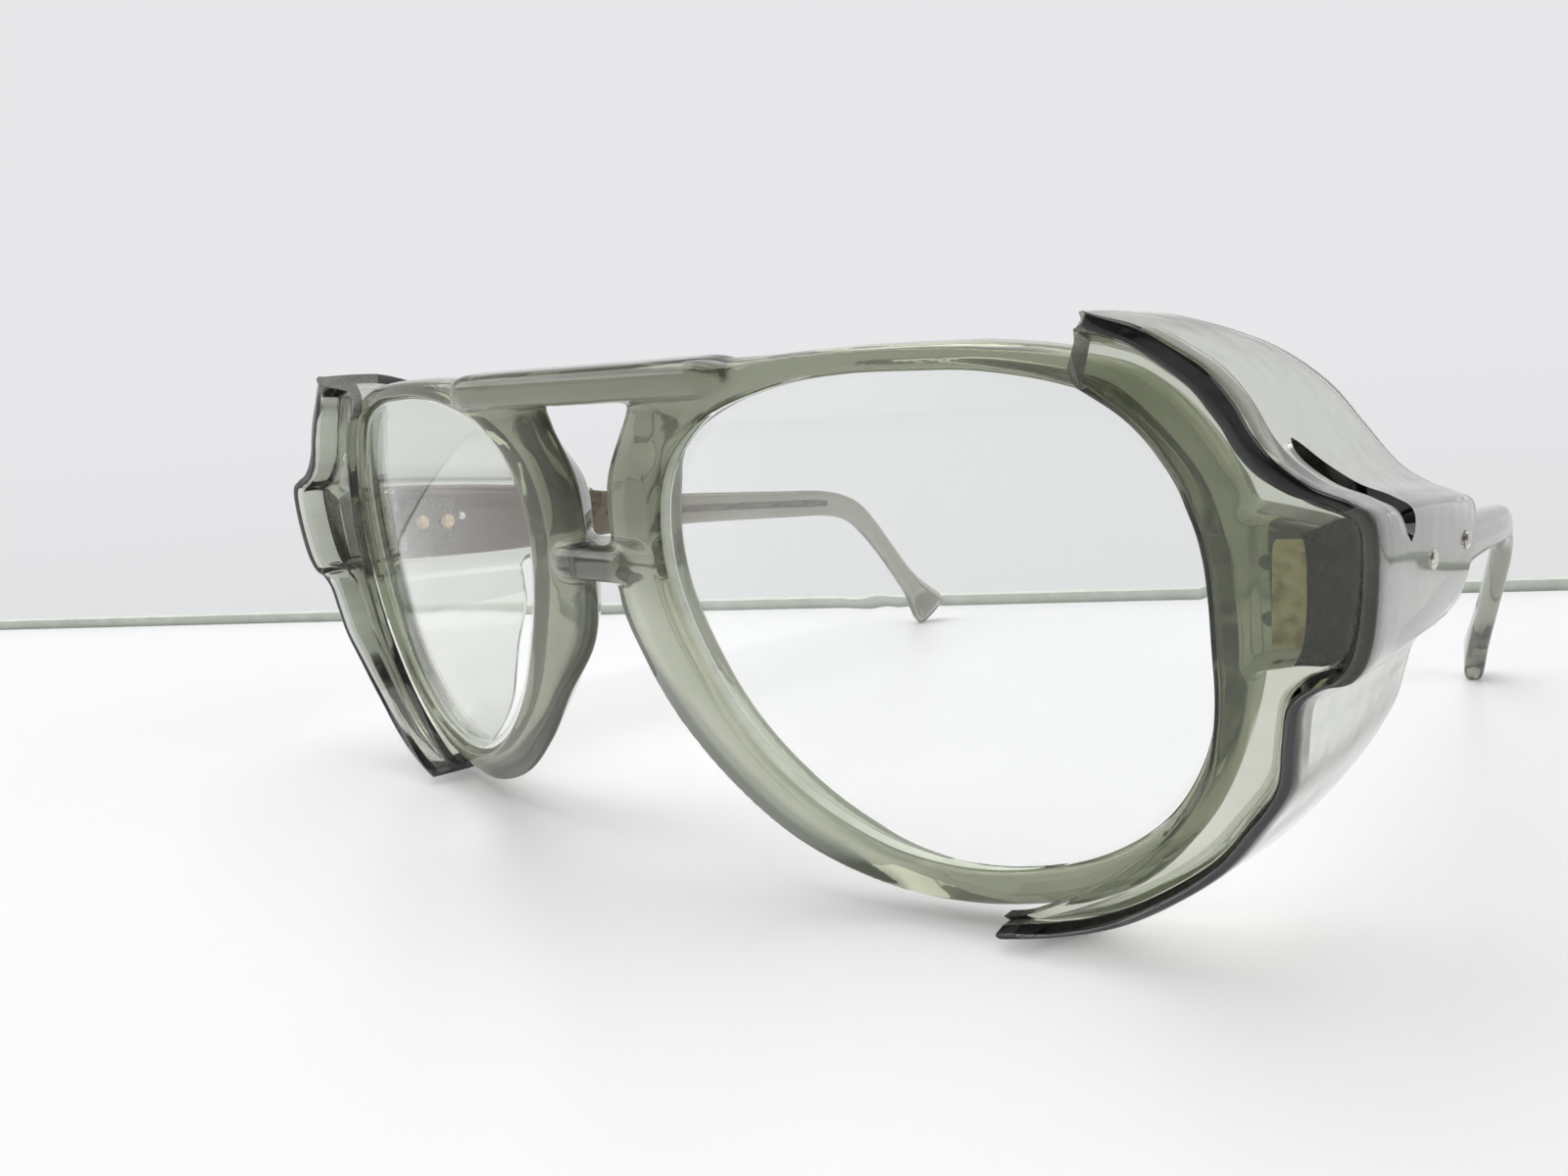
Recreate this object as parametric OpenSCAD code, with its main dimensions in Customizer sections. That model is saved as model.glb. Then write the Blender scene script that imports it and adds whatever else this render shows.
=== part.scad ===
// Aviator-form safety spectacles: full-rim moulded front with a double bridge,
// clear lenses, clear cup-shaped side shields riveted to folding temples.
// Millimetres. The front is drawn upright about the lens centre height (z = 0),
// x to the wearer's left, y to the back, and place() then leans it on its rest.

/* [Front] */
// Distance from the middle of the bridge to the optical centre of each lens
lens_offset = 37; // [36.5:0.5:37.5]
// Radius of the curve that each lens and rim follows from side to side
lens_radius = 118; // [112:2:130]
// Slope of each lens towards the temple, as run over rise (face form)
face_form = 0.20; // [0.17:0.01:0.23]
// Depth of the lens face below the front face of the rim
lens_inset = 0.9; // [0.8:0.1:1.0]
// Thickness of each lens
lens_thick = 3.0; // [2.8:0.1:3.1]
// How far the brow bar stands in front of the rims
brow_relief = 1.6; // [1:0.1:2]

/* [Hinges] */
// Position of the hinge axis from the middle plane
hinge_x = 69.9; // [69.9:0.05:70]
// Position of the hinge axis behind the bridge
hinge_y = 17.2; // [17.15:0.05:17.3]
// Radius of the hinge knuckles
knuckle_r = 1.25; // [1.2:0.05:1.3]
// Radius of the bore through the knuckles
bore_r = 0.75; // [0.72:0.01:0.76]
// Radius of the hinge screw's shank
screw_r = 0.70; // [0.66:0.01:0.7]

/* [Shields] */
// Wall thickness of the side shields
shield_wall = 1.3; // [1.1:0.1:1.4]
// Gap between the shield's front flange and the rim
flange_gap = 0.35; // [0.3:0.05:0.5]
// Thickness of the front flange
flange_thick = 1.4; // [1.2:0.1:1.5]

/* [Rest] */
// Lean of the front when the spectacles stand on the shields and temple tips
lean = 5; // [4.9:0.1:5.1]
// Height of the lens centre line over the surface, measured before the lean
rise = 31.8; // [31.7:0.05:31.9]
// Shift that puts the middle of the depth over the origin
shift_y = -59.7; // [-60.5:0.1:-59]

/* [Hidden] */

c_frame = [0.52, 0.54, 0.44];
c_temple = [0.56, 0.57, 0.48];
c_clear = [0.80, 0.84, 0.80];
c_lens = [0.88, 0.92, 0.90];
c_steel = [0.72, 0.72, 0.70];
c_brass = [0.70, 0.60, 0.38];
c_label = [0.62, 0.56, 0.36];

knuckle_z = 0.4;      // height of the middle of each hinge
end_back = 15.4;      // back face of each endpiece
toe = 8.5;            // degrees that each open temple leans inwards

// Rim stations, anticlockwise from the temple side of the left eye:
// inner x z, front edge x z, widest x z, depth of the widest, inner depth, outer depth, flare
RIM = [
  [64.3, 0, 66.9, 0.2, 67.6, 0.2, 1, 5, 5, 0],
  [63.8, 5, 66.6, 6.2, 67.3, 6.5, 1, 5, 4.9, 0],
  [62, 10.3, 64.8, 11.8, 65.6, 12.1, 1, 4.7, 4.2, 0.5],
  [57.5, 16, 60, 17.6, 60.8, 18.1, 1, 4.6, 4, 0.6],
  [53.5, 18.2, 54.6, 20.1, 54.9, 20.6, 1.5, 4.8, 4.6, 0.2],
  [47, 19.8, 47.5, 21.5, 47.7, 21.9, 1.5, 5, 5, 0],
  [41, 20.3, 41, 22.1, 41, 22.4, 1.5, 5, 5, 0],
  [34.5, 20.5, 34.2, 22.3, 34.1, 22.6, 1.5, 5, 5, 0],
  [28, 20, 27.3, 22.2, 27.1, 22.5, 1.5, 4.6, 4.6, 0],
  [21, 18.3, 18.8, 21.6, 18, 22.2, 1.5, 4.3, 4.3, 0.2],
  [16.5, 16.2, 12.2, 19.6, 8.4, 20.2, 1.5, 4.6, 4.6, 3.2],
  [13, 13, 8.6, 15, 5.3, 16, 1.5, 5.4, 5.6, 4.4],
  [11.2, 9, 7, 10, 2.5, 11, 1.5, 6, 6.6, 4.4],
  [10.7, 4, 6.6, 4.5, 1.9, 5, 1.5, 6, 6.9, 4.9],
  [11.4, -1, 7.2, -1.5, 1.9, -2.2, 1.6, 6, 6.9, 5.3],
  [13.6, -6.8, 9.3, -7.2, 4, -7.8, 1.5, 6, 6.8, 5.1],
  [17, -13, 12.8, -13.4, 8.8, -13.7, 0.3, 6, 6.5, 4.7],
  [21.5, -18.2, 18, -19.2, 14.9, -20.4, 0.2, 6, 5.9, 4.2],
  [27.3, -22.6, 24.9, -24.5, 22.9, -26.3, 0.2, 5.8, 5.4, 3.2],
  [34.6, -25.8, 33.7, -27.7, 33, -29.8, 0.3, 5.4, 5, 1.9],
  [43.3, -26.6, 43.2, -28.5, 43.3, -30.6, 1.3, 5, 5, 0.9],
  [52.5, -24.5, 53.6, -26.5, 54.6, -27.8, 1.6, 4.6, 3.8, 1.2],
  [59, -20.2, 60.4, -21, 61.4, -21.4, 1, 4.4, 3.3, 1],
  [62.8, -14, 64.6, -14.3, 65.3, -14.4, 1, 4.5, 4, 0.6],
  [64.2, -7, 66.1, -7, 66.9, -7, 1, 5, 5, 0]];

// Shield stations, from the top end of the flange round to the bottom tip:
// flange edge x z, front corner x z, rear edge x y z, height of the lip
SHIELD = [
  [56.3, 17.6, 57.8, 23.9, 57.5, 11, 23.1, 3.6],
  [58.8, 15.6, 61.5, 22.6, 59.6, 15, 22.2, 3.6],
  [60.6, 13.6, 64.3, 20.7, 61.8, 21, 20.1, 3.6],
  [62.0, 11.4, 66.8, 18.7, 64.2, 25.5, 17.6, 3.6],
  [63.0, 9.4, 68.7, 16.2, 66.0, 30.5, 14.0, 3.6],
  [63.6, 7.6, 70.0, 13.8, 67.2, 35, 9.6, 3.6],
  [64.1, 6.0, 71.6, 11.8, 68.4, 39.5, 5.2, 3.6],
  [64.4, 4.6, 74.0, 10.0, 69.5, 44, 2.5, 3.6],
  [64.6, 3.2, 76.8, 8.9, 70.2, 49, 0.6, 3.6],
  [64.7, 2.0, 78.6, 7.4, 70.5, 53.7, -1.5, 3.6],
  [64.8, -0.5, 78.7, 2.6, 70.3, 54.6, -4.5, 3.6],
  [64.8, -3.0, 78.0, -2.2, 70.7, 51, -8.2, 3.6],
  [64.8, -4.8, 76.6, -4.6, 70.9, 46.5, -10.0, 3.6],
  [64.8, -6.4, 74.4, -5.4, 70.6, 41.5, -10.8, 3.6],
  [64.7, -8.4, 72.7, -7, 70.0, 37.5, -11.4, 3.6],
  [64.4, -10.8, 72.1, -10.2, 69.5, 36.8, -13.4, 3.6],
  [63.6, -14.4, 71.4, -14.2, 68.7, 36, -16.8, 3.6],
  [61.9, -17.8, 69, -18, 67.4, 33.8, -20, 3.6],
  [59.1, -21.4, 66, -21.9, 65.5, 31, -23.2, 3.6],
  [55.4, -24.6, 62, -25.2, 62.9, 28, -26.6, 3.5],
  [51.2, -27.4, 57, -28.2, 60, 24.8, -29.4, 3.3],
  [47.4, -29.4, 51.4, -30, 55.6, 19, -32, 3.1],
  [45.0, -30.0, 46.3, -30.9, 49, 11, -33, 3]];

// Rows of the shield wall, as fractions of the way from the front corner to the rear edge.
// The vent slot is the gap between rows slot_row and slot_row + 1.
WALL = [0.04, 0.08, 0.125, 0.175, 0.3, 0.42, 0.58, 0.78, 1];
slot_row = 3;
slot_from = 5;
slot_to = 9.5;
sub = 2;              // rings drawn between two shield stations

// Temple stations: centre x y z, height, thickness, turn of the section about the upright
TEMPLE = [
  [73.2, 16.1, 0.3, 11.2, 3.8, 8.5], [72.1, 23, -0.9, 11.2, 3.8, 8.5], [70.9, 31, -2.3, 10.9, 3.8, 8.5],
  [69.5, 40, -3.9, 10, 3.7, 8.5], [67.9, 50, -5.6, 8.2, 3.6, 8.5], [66.3, 60, -7.4, 6.4, 3.5, 8.5],
  [64.6, 70, -9.1, 5.4, 3.4, 9], [61.2, 90, -12.7, 4.9, 3.2, 10.5], [59.4, 100, -14.7, 4.7, 3, 12],
  [58.3, 105.6, -17.2, 4.3, 2.8, 14], [57.2, 108.8, -21, 3.8, 2.7, 16], [55.6, 111.2, -26, 3.5, 2.7, 17],
  [53.8, 113.4, -31.4, 3.8, 2.7, 17], [52.3, 115.4, -35.4, 5, 2.7, 17], [51.2, 117.0, -38.7, 7.2, 2.7, 17],
  [50.7, 117.9, -40.4, 7, 2.3, 17]];

// ---------- helpers ----------
function cr(a, b, c, d, t) = 0.5 * (2 * b + (c - a) * t + (2 * a - 5 * b + 4 * c - d) * t * t
  + (3 * b - a - 3 * c + d) * t * t * t);
function ring_spline(P, n) = [for (i = [0 : len(P) - 1], k = [0 : n - 1])
  cr(P[(i + len(P) - 1) % len(P)], P[i], P[(i + 1) % len(P)], P[(i + 2) % len(P)], k / n)];
function open_spline(P, n) = concat([for (i = [0 : len(P) - 2], k = [0 : n - 1])
  cr(P[max(i - 1, 0)], P[i], P[i + 1], P[min(i + 2, len(P) - 1)], k / n)], [P[len(P) - 1]]);
function unit(v) = v / norm(v);

// Height (y) of the front face over the upright plane, at x and z
function face_y(x, z) =
  let (b = min(max(abs(x), 13.4), 62) - lens_offset, t = min(max(abs(x) - 62, 0), 15))
  face_form * b + b * b / (2 * lens_radius) + 0.412 * t - 0.0137 * t * t + z * z / 300;
function at(p, d) = [p[0], face_y(p[0], p[1]) + d, p[1]];

// A skin over equal rings of points: closed in a loop, or capped at both ends
module loft(rings, loop = false) {
  m = len(rings[0]);
  n = len(rings);
  pts = [for (r = rings, p = r) p];
  side = [for (i = [0 : loop ? n - 1 : n - 2], j = [0 : m - 1], h = [0, 1])
    let (a = i * m + j, b = i * m + (j + 1) % m, c = ((i + 1) % n) * m + (j + 1) % m, d = ((i + 1) % n) * m + j)
    h == 0 ? [a, c, b] : [a, d, c]];
  caps = loop ? [] : [[for (j = [0 : m - 1]) j], [for (j = [m - 1 : -1 : 0]) (n - 1) * m + j]];
  polyhedron(points = pts, faces = concat(side, caps), convexity = 10);
}

// Rounded rectangle of 12 points, widths a and b, corner r, in a plane
function round_rect(a, b, r) = [for (q = [0 : 3], s = [0 : 2])
  let (t = q * 90 + s * 45, cx = (q == 0 || q == 3 ? 1 : -1) * (a / 2 - r), cz = (q < 2 ? 1 : -1) * (b / 2 - r))
  [cx + r * cos(t), cz + r * sin(t)]];

// Leans the upright front on to its rest, with the origin under the middle
module place() translate([0, shift_y, rise]) rotate([lean, 0, 0]) children();
module right_side() mirror([1, 0, 0]) children();
// Levels what touches the surface, so that each tip rests on a small flat
module level() difference() { children(); translate([-100, -100, -10]) cube([200, 200, 10]); }

// ---------- front ----------
rim_s = ring_spline(RIM, 4);
function rim_section(s) =
  let (i = [s[0], s[1]], f = [s[2], s[3]], o = [s[4], s[5]], u = unit(o - i), w = norm(o - i))
  [at(i, 0.5), at(i + 0.4 * u, 0), at(f, 0), at(0.45 * f + 0.55 * o, s[6] * 0.35), at(o, s[6]),
   at(o - s[9] * u, s[8] - 0.6), at(o - (s[9] + 0.6) * u, s[8]), at(i + 0.6 * u, s[7]), at(i + 0.1 * u, s[7] - 0.5),
   at(i, 3.2), at(i + 0.85 * u, 2.4), at(i, 1.6)];
module rim() loft([for (s = rim_s) rim_section(s)], true);

// Ridge that bridges the two rims at the brow, with rounded ends
module brow_bar() {
  xs = [-22.6, -22.2, -21.3, -19.5, -16, -12, -8, -4, 0, 4, 8, 12, 16, 19.5, 21.3, 22.2, 22.6];
  loft([for (x = xs)
    let (e = 1 - max(0, abs(x) - 19.5) / 3.3, k = 0.35 + 0.65 * sqrt(max(0, e)),
         front = face_y(x, 20.6) - brow_relief * k, back = face_y(x, 20.6) + 4.2)
    [for (p = round_rect(back - front, 3.9 * k, 1.2 * k)) [x, (front + back) / 2 + p[0], 21 + p[1]]]]);
}

// Lower saddle bridge between the rims at the nose
module saddle_bar() {
  xs = [-9, -7.4, -6.2, -4.8, -2.5, 0, 2.5, 4.8, 6.2, 7.4, 9];
  loft([for (x = xs)
    let (front = face_y(x, 2) - 0.9 + min(1.2, max(0, abs(x) - 4.8) * 0.46), back = 3.9)
    [for (p = round_rect(back - front, 4, 0.9)) [x, (front + back) / 2 + p[0], 2.25 + p[1]]]]);
}

// Block at the end of the front that carries the hinge
module endpiece() {
  st = [[65.25, 0, 1.8], [65.8, 0, 1.2], [66.3, 0, 0.4], [66.8, 0, 0], [68, 0, 0], [70.5, 0, 0], [72, 0, 0], [73.1, 0.35, 0],
    [73.9, 1.1, 0], [74.3, 2.2, 0]];
  loft([for (s = st)
    let (x = s[0], top = 7.4 - (x - 66) * 0.23, low = -6.4 + (x - 66) * 0.21, h = top - low)
    [for (p = round_rect(2, h, 0.8))
      let (z = (top + low) / 2 + p[1], fr = face_y(x, z) + s[1])
      [x, p[0] < 0 ? fr - 1 * (p[0] + 1) * -1 : end_back - s[2] - (1 - p[0]), z]]]);
}

module front_holes(grow = 0)
  for (z = [-2.3, 2.3]) translate([67.8, end_back - 3.2, knuckle_z + z]) rotate([-90, 0, 0])
    cylinder(r = 0.6 + grow, h = 3.6, $fn = 24);

module front_frame() color(c_frame) place() difference() {
  union() {
    rim(); right_side() rim();
    brow_bar(); saddle_bar();
    endpiece(); right_side() endpiece();
  }
  front_holes(0.02);
  right_side() front_holes(0.02);
}

// Lens: bevelled edge that sits in the rim's groove, both faces on the rim's curve
module lens() {
  c = [lens_offset, -2];
  n = len(rim_s);
  function edge(s, out) = let (i = [s[0], s[1]], u = unit([s[4], s[5]] - i)) i + out * u;
  function mix(s, k) = c + (edge(s, -0.35) - c) * k;
  f = lens_inset; b = lens_inset + lens_thick;
  rings = concat(
    [for (k = [0.3, 0.6, 0.82]) [for (s = rim_s) at(mix(s, k), f)]],
    [[for (s = rim_s) at(edge(s, -0.35), f)], [for (s = rim_s) at(edge(s, -0.15), f + 0.25)],
     [for (s = rim_s) at(edge(s, -0.12), 1.85)], [for (s = rim_s) at(edge(s, 0.6), 2.4)],
     [for (s = rim_s) at(edge(s, -0.12), 2.95)], [for (s = rim_s) at(edge(s, -0.15), b - 0.25)],
     [for (s = rim_s) at(edge(s, -0.35), b)]],
    [for (k = [0.82, 0.6, 0.3]) [for (s = rim_s) at(mix(s, k), b)]]);
  m = len(rings);
  pts = concat([at(c, f)], [for (r = rings, p = r) p], [at(c, b)]);
  polyhedron(points = pts, convexity = 4, faces = concat(
    [for (j = [0 : n - 1]) [0, 1 + (j + 1) % n, 1 + j]],
    [for (i = [0 : m - 2], j = [0 : n - 1], h = [0, 1])
      let (p = 1 + i * n + j, q = 1 + i * n + (j + 1) % n, r = p + n, s = q + n) h == 0 ? [p, q, s] : [p, s, r]],
    [for (j = [0 : n - 1]) [1 + m * n, 1 + (m - 1) * n + j, 1 + (m - 1) * n + (j + 1) % n]]));
}
module lens_left() color(c_lens) place() lens();
module lens_right() color(c_lens) place() right_side() lens();

// Plain inlay on the front of the left endpiece
module label_plate() color(c_label) place() {
  loft([for (z = [-3.8, -2, 0, 2, 4, 5])
    [for (q = [[69.0, -0.15], [71.6, -0.15], [71.6, 0.35], [69.0, 0.35]])
      [q[0] + z * 0.05, face_y(q[0], z) + q[1], z]]]);
}

// ---------- hinges ----------
module knuckle(z0, z1) translate([hinge_x, hinge_y, knuckle_z + z0]) cylinder(r = knuckle_r, h = z1 - z0, $fn = 48);
module pin_bore() translate([hinge_x, hinge_y, knuckle_z - 8]) cylinder(r = bore_r, h = 16, $fn = 48);

module front_hinge() difference() {
  union() {
    translate([66.9, end_back + 0.05, knuckle_z - 4.3]) cube([2, 0.8, 8.6]);
    for (z = [-4.3, 1.55]) {
      knuckle(z, z + 2.75);
      translate([hinge_x - 1.15, end_back + 0.05, knuckle_z + z]) cube([1.15, hinge_y - end_back, 2.75]);
    }
  }
  pin_bore();
  for (z = [-2.3, 2.3]) translate([67.8, end_back - 1, knuckle_z + z]) rotate([-90, 0, 0])
    cylinder(r = 0.62, h = 3, $fn = 24);
}
module front_hinge_left() color(c_steel) place() front_hinge();
module front_hinge_right() color(c_steel) place() right_side() front_hinge();

module front_rivets() for (z = [-2.3, 2.3]) translate([67.8, end_back, knuckle_z + z]) rotate([-90, 0, 0])
  rotate_extrude($fn = 32) polygon([[0, -3.1], [0.6, -3.1], [0.6, 0.85], [0.8, 0.85], [0.75, 1.1], [0.5, 1.25], [0, 1.3]]);
module front_rivets_left() color(c_brass) place() front_rivets();
module front_rivets_right() color(c_brass) place() right_side() front_rivets();

module hinge_screw() translate([hinge_x, hinge_y, knuckle_z]) difference() {
  rotate_extrude($fn = 48) polygon([[0, -4.4], [screw_r - 0.1, -4.4], [screw_r, -4.3], [screw_r, 4.35], [1.1, 4.35], [1.1, 4.7], [0.9, 4.9], [0, 4.9]]);
  translate([-2, -0.14, 4.62]) cube([4, 0.28, 1]);
}
module hinge_screw_left() color(c_steel) place() hinge_screw();
module hinge_screw_right() color(c_steel) place() right_side() hinge_screw();

// Everything on the inner face of a temple is drawn along y from the hinge end
module on_temple() translate([71.28, 16.1, knuckle_z]) rotate([0, 0, toe]) rotate([-9.9, 0, 0]) children();

module temple_hinge() difference() {
  union() {
    on_temple() translate([-0.6, 3.2, -3.5]) cube([0.9, 7.6, 7]);
    knuckle(-1.45, 1.45);
    hull() {
      translate([hinge_x, hinge_y, knuckle_z - 1.45]) cube([1.2, 0.5, 2.9]);
      translate([hinge_x + 0.3, hinge_y + 2.4, knuckle_z - 1.45]) cube([0.9, 0.6, 2.9]);
    }
  }
  pin_bore();
  on_temple() for (y = [5.4, 9.4]) translate([-3, y, 0]) rotate([0, 90, 0]) cylinder(r = 0.62, h = 4, $fn = 24);
}
module temple_hinge_left() color(c_steel) place() temple_hinge();
module temple_hinge_right() color(c_steel) place() right_side() temple_hinge();

module temple_rivets() on_temple() for (y = [5.4, 9.4]) translate([0, y, 0]) rotate([0, 90, 0])
  rotate_extrude($fn = 32) polygon([[0, -1.6], [0.6, -1.5], [1.05, -1.25], [1.05, -0.95], [0.6, -0.95], [0.6, 3.5], [0, 3.5]]);
module temple_rivets_left() color(c_brass) place() temple_rivets();
module temple_rivets_right() color(c_brass) place() right_side() temple_rivets();

// ---------- temples ----------
temple_s = open_spline(TEMPLE, 3);
function along(i) = let (a = temple_s[max(i - 1, 0)], b = temple_s[min(i + 1, len(temple_s) - 1)]) unit([b[0] - a[0], b[1] - a[1], b[2] - a[2]]);
// Rings stand square to the path; the first one is square to the front
function temple_frame(i) = let (q = temple_s[i][5], h = [cos(q), sin(q), 0], t = along(i))
  i == 0 ? [h, [0, 0, 1]] : let (side = unit(h - (h * t) * t)) [side, cross(side, t)];
module temple() {
  last = len(temple_s) - 1;
  difference() {
    loft([for (i = [0 : last]) let (s = temple_s[i], f = temple_frame(i), r = min(s[3], s[4]) * 0.32)
      [for (p = round_rect(s[4], s[3], r)) [s[0], s[1], s[2]] - p[0] * f[0] + p[1] * f[1]]]);
    on_temple() for (y = [5.4, 9.4]) translate([-1, y, 0]) rotate([0, 90, 0]) cylinder(r = 0.62, h = 4.6, $fn = 24);
    shield_holes(-6, 3);
    translate([hinge_x, hinge_y, knuckle_z - 6]) cylinder(r = knuckle_r + 0.35, h = 12, $fn = 48);
  }
}
module temple_left() color(c_temple) level() place() temple();
module temple_right() color(c_temple) level() place() right_side() temple();

// Wire moulded into the middle of the temple, from behind the hinge rivets to the ear bend
module core_wire() loft([for (i = [13 : 24]) let (s = temple_s[i], f = temple_frame(i))
  [for (a = [0 : 45 : 315]) [s[0], s[1], s[2]] - 0.65 * cos(a) * f[0] + 0.65 * sin(a) * f[1]]]);
module core_wire_left() color(c_steel) place() core_wire();
module core_wire_right() color(c_steel) place() right_side() core_wire();

// ---------- side shields ----------
shield_s = open_spline(SHIELD, sub);
wall_n = len(WALL);
function inward(s) = unit([s[0] - s[2], s[1] - s[3]]);
function lip_front(s) = at([s[2], s[3]], -flange_gap - flange_thick - s[7]);
// Outer skin of the wall; it bows outwards except along the flat side plate
function skin(i, v) = let (s = shield_s[i], a = lip_front(s), b = [s[4], s[5], s[6]],
    u = (i / sub), flat = min(1, min(abs(u - 10) / 3.5, 1)), w = inward(s),
    bow = 0.4 * flat * min(1, norm(b - a) / 30) * 4 * v * (1 - v))
  a + (b - a) * v - bow * [w[0], 0, w[1]];
function skin_normal(i, v) = let (n = len(shield_s) - 1, p = skin(max(i - 1, 0), v), q = skin(min(i + 1, n), v),
    e = skin(i, max(v - 0.04, 0)), g = skin(i, min(v + 0.04, 1))) unit(cross(g - e, q - p));
// The slot's rear row drifts back towards the upper part of the slot
function slide(i, v) = v < 0.24 || v > 0.34 ? v : v + 0.02 * max(0, 1 - abs(i / sub - 8) / 2.2);
function shield_ring(i) = let (s = shield_s[i], w = inward(s), c = [s[2], s[3]], e = [s[0], s[1]],
    fg = -flange_gap, ft = -flange_gap - flange_thick, full = norm(e - c))
  concat(
    [at(c + 0.15 * w, ft - s[7])],
    [for (v = WALL) skin(i, slide(i, v))],
    [for (k = [wall_n - 1 : -1 : 0]) let (v = slide(i, WALL[k])) skin(i, v) + shield_wall * skin_normal(i, v)],
    [at(c + min(1.6, full * 0.36) * w, fg), at(c + full * 0.62 * w, fg), at(c + full * 0.82 * w, fg), at(e, fg)],
    [at(e, ft), at(c + full * 0.82 * w, ft), at(c + full * 0.66 * w, ft), at(c + min(2.6, full * 0.6) * w, ft),
     at(c + min(2.1, full * 0.5) * w, ft - s[7] + 0.3), at(c + min(1.7, full * 0.4) * w, ft - s[7])]);
module shield_shell() {
  n = len(shield_s);
  rings = [for (i = [0 : n - 1]) shield_ring(i)];
  m = len(rings[0]);
  pts = [for (r = rings, p = r) p];
  a = 1 + slot_row;                 // outer point of the slot's front edge
  b = 2 * wall_n - slot_row - 1;    // inner point of the slot's rear edge
  s0 = floor(slot_from * sub); s1 = floor(slot_to * sub);
  function cut(i, j) = i >= s0 && i < s1 && (j == a || j == b);
  side = [for (i = [0 : n - 2], j = [0 : m - 1], h = [0, 1]) if (!cut(i, j))
    let (p = i * m + j, q = i * m + (j + 1) % m, r = (i + 1) * m + (j + 1) % m, t = (i + 1) * m + j)
    h == 0 ? [p, q, r] : [p, r, t]];
  walls = [for (i = [s0 : s1 - 1], h = [0 : 3])
    let (p = i * m + a, q = i * m + b + 1, r = (i + 1) * m + b + 1, t = (i + 1) * m + a,
         p2 = i * m + a + 1, q2 = i * m + b, r2 = (i + 1) * m + b, t2 = (i + 1) * m + a + 1)
    h == 0 ? [p, q, r] : h == 1 ? [p, r, t] : h == 2 ? [p2, t2, r2] : [p2, r2, q2]];
  ends = [[s0 * m + a, s0 * m + a + 1, s0 * m + b], [s0 * m + a, s0 * m + b, s0 * m + b + 1],
          [s1 * m + a, s1 * m + b, s1 * m + a + 1], [s1 * m + a, s1 * m + b + 1, s1 * m + b]];
  caps = [[for (j = [m - 1 : -1 : 0]) j], [for (j = [0 : m - 1]) (n - 1) * m + j]];
  polyhedron(points = pts, faces = concat(side, walls, ends, caps), convexity = 12);
}
// Two small rivets through the side plate and the temple
module on_plate(y) translate([78.3 - (y - 6.4) * 0.166, y, 0.95 - (y - 16) * 0.157]) rotate([0, 0, toe + 0.9]) rotate([0, 90, 0]) children();
rivets_y = [28.8, 48.2];
module shield_holes(from, to) for (y = rivets_y) on_plate(y) translate([0, 0, from]) cylinder(r = 0.72, h = to - from, $fn = 24);
module side_shield() difference() { shield_shell(); shield_holes(-3, 3); }
module side_shield_left() color(c_clear) level() place() side_shield();
module side_shield_right() color(c_clear) level() place() right_side() side_shield();

module shield_rivets() for (y = rivets_y) on_plate(y)
  rotate_extrude($fn = 32) polygon([[0, -5.6], [0.5, -5.5], [0.7, -5.2], [0.7, 0.05], [0.95, 0.05], [0.9, 0.25], [0.6, 0.4], [0, 0.45]]);
module shield_rivets_left() color(c_steel) place() shield_rivets();
module shield_rivets_right() color(c_steel) place() right_side() shield_rivets();

front_frame();
lens_left();
lens_right();
label_plate();
front_hinge_left();
front_hinge_right();
front_rivets_left();
front_rivets_right();
hinge_screw_left();
hinge_screw_right();
temple_left();
temple_right();
core_wire_left();
core_wire_right();
temple_hinge_left();
temple_hinge_right();
temple_rivets_left();
temple_rivets_right();
side_shield_left();
side_shield_right();
shield_rivets_left();
shield_rivets_right();
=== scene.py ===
"""Aviator-form safety spectacles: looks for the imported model.

The forms are drawn in millimetres in an upright frame about the lens centre height
(x to the wearer's left, y to the back), and W() leans them on to their rest and
turns them into metres, as the CAD model does.
"""
import math
import bpy
import bmesh
import numpy as np
from mathutils import Matrix, Vector

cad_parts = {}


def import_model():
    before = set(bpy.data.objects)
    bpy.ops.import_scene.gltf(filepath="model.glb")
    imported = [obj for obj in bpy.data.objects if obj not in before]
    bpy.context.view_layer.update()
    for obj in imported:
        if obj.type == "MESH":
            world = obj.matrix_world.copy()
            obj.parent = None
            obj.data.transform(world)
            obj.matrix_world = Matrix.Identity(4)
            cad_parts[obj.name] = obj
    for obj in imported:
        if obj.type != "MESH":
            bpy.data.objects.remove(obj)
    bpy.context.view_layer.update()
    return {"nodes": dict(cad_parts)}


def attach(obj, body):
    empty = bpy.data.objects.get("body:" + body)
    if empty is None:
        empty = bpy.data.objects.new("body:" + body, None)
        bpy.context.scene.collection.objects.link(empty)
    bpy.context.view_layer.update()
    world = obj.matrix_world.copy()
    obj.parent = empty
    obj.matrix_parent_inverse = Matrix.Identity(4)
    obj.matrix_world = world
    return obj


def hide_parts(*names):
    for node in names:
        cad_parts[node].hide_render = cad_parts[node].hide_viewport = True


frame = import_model()
NODES = frame["nodes"]
scene = bpy.context.scene

# ---------------------------------------------------------------- camera
LEAN, SHIFT_Y, RISE = math.radians(5), -59.7, 31.8
CL, SL = math.cos(LEAN), math.sin(LEAN)


def W(p):
    """Upright millimetres to the row frame in metres."""
    p = np.asarray(p, float).reshape(-1, 3)
    return np.stack([p[:, 0], p[:, 1] * CL - p[:, 2] * SL + SHIFT_Y,
                     p[:, 1] * SL + p[:, 2] * CL + RISE], 1) / 1000.0


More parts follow.
